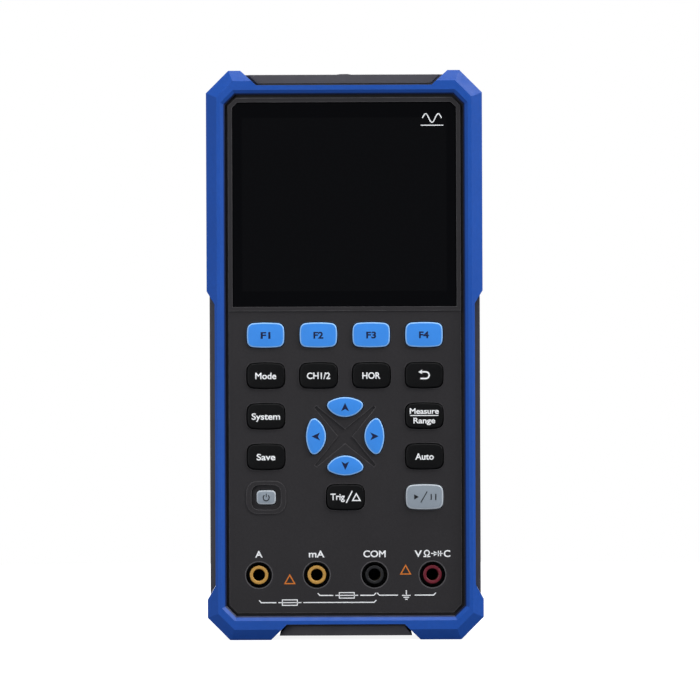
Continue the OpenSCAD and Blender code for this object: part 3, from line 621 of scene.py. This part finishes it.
class Marks:
    """Flat shapes for one surface, printed marks and painted highlights alike: drawn in X and Z, joined
    into one piece.
    """

    def __init__(self, name, body, depth, ink):
        self.name, self.body, self.depth, self.ink = name, body, depth, ink
        self.shape = bmesh.new()

    def polygon(self, points):
        front = [self.shape.verts.new((x, self.depth - PRINT_UP, z)) for x, z in points]
        back = [self.shape.verts.new((x, self.depth + PRINT_DEEP, z)) for x, z in points]
        self.shape.faces.new(front)
        self.shape.faces.new(back[::-1])
        for i in range(len(points)):
            j = (i + 1) % len(points)
            self.shape.faces.new((front[i], front[j], back[j], back[i]))

    def stroke(self, points, width, closed=False):
        """A line of even width through the points."""
        path = [Vector(p) for p in points]
        count = len(path)
        sides = ([], [])
        for i, p in enumerate(path):
            before = path[i - 1] if i or closed else None
            after = path[(i + 1) % count] if i < count - 1 or closed else None
            first = (p - before).normalized() if before is not None else (after - p).normalized()
            second = (after - p).normalized() if after is not None else first
            along = (first + second).normalized()
            normal = Vector((-along.y, along.x))
            stretch = 1 / max(0.35, normal.dot(Vector((-first.y, first.x))))
            for side, sign in zip(sides, (1, -1)):
                side.append(p + normal * (sign * width / 2 * stretch))
        if closed:
            for i in range(count):
                j = (i + 1) % count
                self.polygon([sides[0][i], sides[0][j], sides[1][j], sides[1][i]])
        else:
            for i in range(count - 1):
                self.polygon([sides[0][i], sides[0][i + 1], sides[1][i + 1], sides[1][i]])

    def words(self, text, x, z, height, width=None, bold=WORD_BOLD):
        """Lettering in Blender's own font, centred on a point; width squeezes it to fit.

        A flattened bevel around the letters makes them bold.
        """
        curve = bpy.data.curves.new(self.name, "FONT")
        curve.body = text
        curve.size = 1
        curve.bevel_depth = bold
        curve.bevel_resolution = 0
        holder = bpy.data.objects.new(self.name, curve)
        bpy.context.collection.objects.link(holder)
        bpy.context.view_layer.update()
        letters = holder.evaluated_get(bpy.context.evaluated_depsgraph_get()).to_mesh()
        flat = bmesh.new()
        flat.from_mesh(letters)
        xs = [v.co.x for v in flat.verts]
        middle = (max(xs) + min(xs)) / 2
        scale_z = height / (CAP_HEIGHT + 2 * bold)
        scale_x = scale_z if width is None else width / (max(xs) - min(xs))
        for v in flat.verts:
            lift = v.co.z / bold
            deep = -PRINT_UP * (0.8 + 0.2 * lift) if lift > -0.5 else PRINT_DEEP
            v.co = Vector((x + (v.co.x - middle) * scale_x, self.depth + deep,
                           z + (v.co.y - CAP_HEIGHT / 2) * scale_z))
        solid = bpy.data.meshes.new(self.name + "_words")
        flat.to_mesh(solid)
        flat.free()
        self.shape.from_mesh(solid)
        bpy.data.meshes.remove(solid)
        bpy.data.objects.remove(holder)
        bpy.data.curves.remove(curve)

    def make(self):
        mesh = bpy.data.meshes.new(self.name)
        bmesh.ops.recalc_face_normals(self.shape, faces=self.shape.faces)
        self.shape.to_mesh(mesh)
        self.shape.free()
        mesh.materials.append(self.ink)
        piece = bpy.data.objects.new(self.name, mesh)
        bpy.context.collection.objects.link(piece)
        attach(piece, self.body)
        return piece


def arc(x, z, radius, start, end, count=16):
    """Points on an arc, from start to end in degrees."""
    turns = [math.radians(start + (end - start) * i / count) for i in range(count + 1)]
    return [(x + radius * math.cos(t), z + radius * math.sin(t)) for t in turns]


def key_marks(node, ink):
    middle, front = KEY_MIDDLE[node]
    return Marks(node + "_legend", node, front, ink), middle.x, middle.y


def word_key(node, ink, text, width, height=2.4 * MM, bold=WORD_BOLD):
    marks, x, z = key_marks(node, ink)
    marks.words(text, x, z, height, width, bold)
    marks.make()


def arrow_key(node, turn):
    """A notched arrow head, 2.7 mm wide."""
    marks, x, z = key_marks(node, NAVY_INK)
    head = [(0, 1.5), (1.35, -1.4), (0, -0.65), (-1.35, -1.4)]
    a = math.radians(turn)
    marks.polygon([(x + (px * math.cos(a) - pz * math.sin(a)) * MM,
                    z + (px * math.sin(a) + pz * math.cos(a)) * MM) for px, pz in head])
    marks.make()


BLACK_KEY_WORDS = {        # node: its word and how wide that is, in mm
    "key_mode": ("Mode", 7.3),
    "key_channel": ("CH1/2", 8.1),
    "key_horizontal": ("HOR", 6.3),
    "key_system": ("System", 9.9),
    "key_save": ("Save", 6.5),
    "key_auto": ("Auto", 6.5),
}
for number in (1, 2, 3, 4):
    word_key(f"key_f{number}", NAVY_INK, f"F{number}", 3.4 * MM, 2.5 * MM, BLUE_KEY_BOLD)
for node, (word, width) in BLACK_KEY_WORDS.items():
    word_key(node, WHITE_INK, word, width * MM)
for node, turn in (("key_up", 0), ("key_left", 90), ("key_down", 180), ("key_right", 270)):
    arrow_key(node, turn)


def measure_legend():
    """Two words, one over the other, with a line between."""
    marks, x, z = key_marks("key_measure", WHITE_INK)
    marks.words("Measure", x, z + 1.7 * MM, 2.1 * MM, 10.1 * MM)
    marks.stroke([(x - 4.9 * MM, z + 0.1 * MM), (x + 4.9 * MM, z + 0.1 * MM)], 0.32 * MM)
    marks.words("Range", x, z - 1.6 * MM, 2.1 * MM, 7.6 * MM)
    marks.make()


def trigger_legend():
    """A word, a slash and a triangle."""
    marks, x, z = key_marks("key_trigger", WHITE_INK)
    marks.words("Trig", x - 2.7 * MM, z + 0.2 * MM, 2.4 * MM, 5 * MM)
    marks.stroke([(x + 0.3 * MM, z - 2 * MM), (x + 2.4 * MM, z + 2.2 * MM)], 0.42 * MM)
    corners = [(x + 2.5 * MM, z - 1.15 * MM), (x + 5.1 * MM, z - 1.15 * MM), (x + 3.8 * MM, z + 1.2 * MM)]
    marks.stroke(corners, 0.42 * MM, closed=True)
    marks.make()


def return_legend():
    """A line that turns back on itself, with an arrow head at its upper end."""
    marks, x, z = key_marks("key_back", WHITE_INK)
    radius = 1.15 * MM
    top, bottom = z + radius, z - radius
    bend = arc(x + 0.6 * MM, z, radius, 90, -90)
    marks.stroke([(x - 0.9 * MM, top)] + bend + [(x - 1.3 * MM, bottom)], 0.52 * MM)
    head_x, head_half = x - 0.7 * MM, 0.8 * MM
    marks.polygon([(x - 2 * MM, top), (head_x, top - head_half), (head_x, top + head_half)])
    marks.make()


def power_legend():
    """An open ring with a bar in the gap."""
    marks, x, z = key_marks("key_power", DARK_INK)
    marks.stroke(arc(x, z - 0.1 * MM, 1.05 * MM, 125, 415, 24), 0.32 * MM)
    marks.stroke([(x, z + 0.05 * MM), (x, z + 1.35 * MM)], 0.32 * MM)
    marks.make()


def run_legend():
    """A run triangle, a slash and two pause bars."""
    marks, x, z = key_marks("key_run", DARK_INK)
    marks.polygon([(x - 3.6 * MM, z + 0.9 * MM), (x - 3.6 * MM, z - 0.9 * MM), (x - 2 * MM, z)])
    marks.stroke([(x - 1.3 * MM, z - 1.9 * MM), (x + 0.9 * MM, z + 1.9 * MM)], 0.32 * MM)
    for offset in (2.3, 3.9):
        marks.stroke([(x + offset * MM, z - 1.05 * MM), (x + offset * MM, z + 1.05 * MM)], 0.36 * MM)
    marks.make()


measure_legend()
trigger_legend()
return_legend()
power_legend()
run_legend()


# ---- Marks on the panel ----

SLEEVE_SUNK = 0.4 * MM
RIM_RADIUS = 4.75 * MM     # the painted highlight line around a socket's recess
SOCKETS = ("jack_sleeve_amp", "jack_sleeve_milliamp", "jack_sleeve_common", "jack_sleeve_volt")


def socket_place(node):
    low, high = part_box(node)
    return (low.x + high.x) / 2, (low.z + high.z) / 2


def panel_depth():
    """The y of the flat panel; the sockets' sleeves start a little behind it."""
    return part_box("jack_sleeve_amp")[0].y - SLEEVE_SUNK


def socket_labels():
    """Quantity letters above the sockets."""
    marks = Marks("socket_labels", "case", panel_depth(), WHITE_INK)
    up = 7.3 * MM
    tall = 2.5 * MM
    for node, text, width in zip(SOCKETS[:3], ("A", "mA", "COM"), (2.6, 5.5, 7.8)):
        x, z = socket_place(node)
        marks.words(text, x, z + up, tall, width * MM)
    x, z = socket_place(SOCKETS[3])
    middle = z + up
    marks.words("V", x - 4.9 * MM, middle, tall, 2.6 * MM)
    marks.words("C", x + 5.1 * MM, middle, tall, 2.3 * MM)
    foot = middle - 1.05 * MM
    omega = arc(x - 1.9 * MM, middle + 0.25 * MM, 0.85 * MM, 245, -65, 18)
    left_foot = [(x - 3.1 * MM, foot), (omega[0][0], foot)]
    right_foot = [(omega[-1][0], foot), (x - 0.7 * MM, foot)]
    marks.stroke(left_foot + omega + right_foot, 0.4 * MM)
    marks.stroke([(x - 0.4 * MM, middle), (x + 3.6 * MM, middle)], 0.34 * MM)
    diode_x, diode_half = x + 0.5 * MM, 0.9 * MM
    marks.polygon([(diode_x, middle + diode_half), (diode_x, middle - diode_half), (x + 2 * MM, middle)])
    for bar in (2.1, 2.9):
        marks.stroke([(x + bar * MM, middle - 0.95 * MM), (x + bar * MM, middle + 0.95 * MM)], 0.34 * MM)
    marks.make()


def socket_rims():
    """Painted highlight: a thin light line around each socket's recess, for the light caught by its edge.
    """
    marks = Marks("socket_rims", "case", panel_depth(), RIM_HIGHLIGHT)
    for node in SOCKETS:
        x, z = socket_place(node)
        marks.stroke(arc(x, z, RIM_RADIUS, 0, 352.5, 47), 0.22 * MM, closed=True)
    marks.make()


def plain_signs():
    """Two plain triangles between the sockets."""
    marks = Marks("plain_signs", "case", panel_depth(), SIGN_INK)
    half, tall = 1.7 * MM, 3 * MM
    x, z = socket_place("jack_sleeve_milliamp")
    for middle, base in ((x - 9.4 * MM, z - 3 * MM), (-x + 10.8 * MM, z + 0.2 * MM)):
        corners = [(middle - half, base), (middle + half, base), (middle, base + tall)]
        marks.stroke(corners, 0.4 * MM, closed=True)
    marks.make()


def fuse_symbol(marks, x, z):
    """The drawing symbol of a fuse: a box with the line running through."""
    half_w, half_h = 2.6 * MM, 0.95 * MM
    marks.stroke([(x - half_w, z - half_h), (x + half_w, z - half_h),
                  (x + half_w, z + half_h), (x - half_w, z + half_h)], 0.32 * MM, closed=True)
    marks.stroke([(x - 4 * MM, z), (x + 4 * MM, z)], 0.32 * MM)


def earth_symbol(marks, x, z):
    """The drawing symbol of earth: a stem and three shortening bars."""
    marks.stroke([(x, z + 1.7 * MM), (x, z - 0.1 * MM)], 0.36 * MM)
    for i, half in enumerate((1.5, 1, 0.45)):
        drop = z - (0.1 + 0.65 * i) * MM
        marks.stroke([(x - half * MM, drop), (x + half * MM, drop)], 0.34 * MM)


def socket_brackets():
    """Lines that tie each socket to the common one, with fuse and earth symbols in their gaps."""
    marks = Marks("socket_brackets", "case", panel_depth(), WHITE_INK)
    places = [socket_place(node) for node in SOCKETS]
    z = places[0][1]
    lead = 0.8 * MM
    thick = 0.36 * MM
    outer, inner = z - 9.6 * MM, z - 7.15 * MM
    amp, milli, common, volt = (p[0] for p in places)

    def bracket(left, right, level, symbol_x, half_gap):
        marks.stroke([(left, level + lead), (left + lead, level), (symbol_x - half_gap, level)], thick)
        marks.stroke([(symbol_x + half_gap, level), (right - lead, level), (right, level + lead)], thick)

    bracket(amp, common + 0.6 * MM, outer, amp + 10.7 * MM, 4.7 * MM)
    fuse_symbol(marks, amp + 10.7 * MM, outer)
    bracket(milli + 0.3 * MM, common + 0.5 * MM, inner, milli + 10.4 * MM, 4.7 * MM)
    fuse_symbol(marks, milli + 10.4 * MM, inner)
    bracket(common + 0.9 * MM, volt + 1.2 * MM, inner, common + 11 * MM, 2.9 * MM)
    earth_symbol(marks, common + 11 * MM, inner)
    marks.make()


def window_mark():
    """A small plain waveform in the corner of the window."""
    low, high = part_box("display_lens")
    marks = Marks("window_mark", "case", low.y, WHITE_INK)
    length, swing, cycles, steps = 6.6 * MM, 1.5 * MM, 1.5, 36
    left, middle = high.x - 11.6 * MM, high.z - 5.6 * MM
    base = middle - 2.5 * MM
    wave = [(left + length * i / steps, middle + swing * math.sin(2 * math.pi * cycles * i / steps))
            for i in range(steps + 1)]
    marks.stroke(wave, 0.36 * MM)
    marks.stroke([(left - 0.6 * MM, base), (left + length + 0.6 * MM, base)], 0.3 * MM)
    marks.make()


socket_labels()
socket_rims()
plain_signs()
socket_brackets()
window_mark()
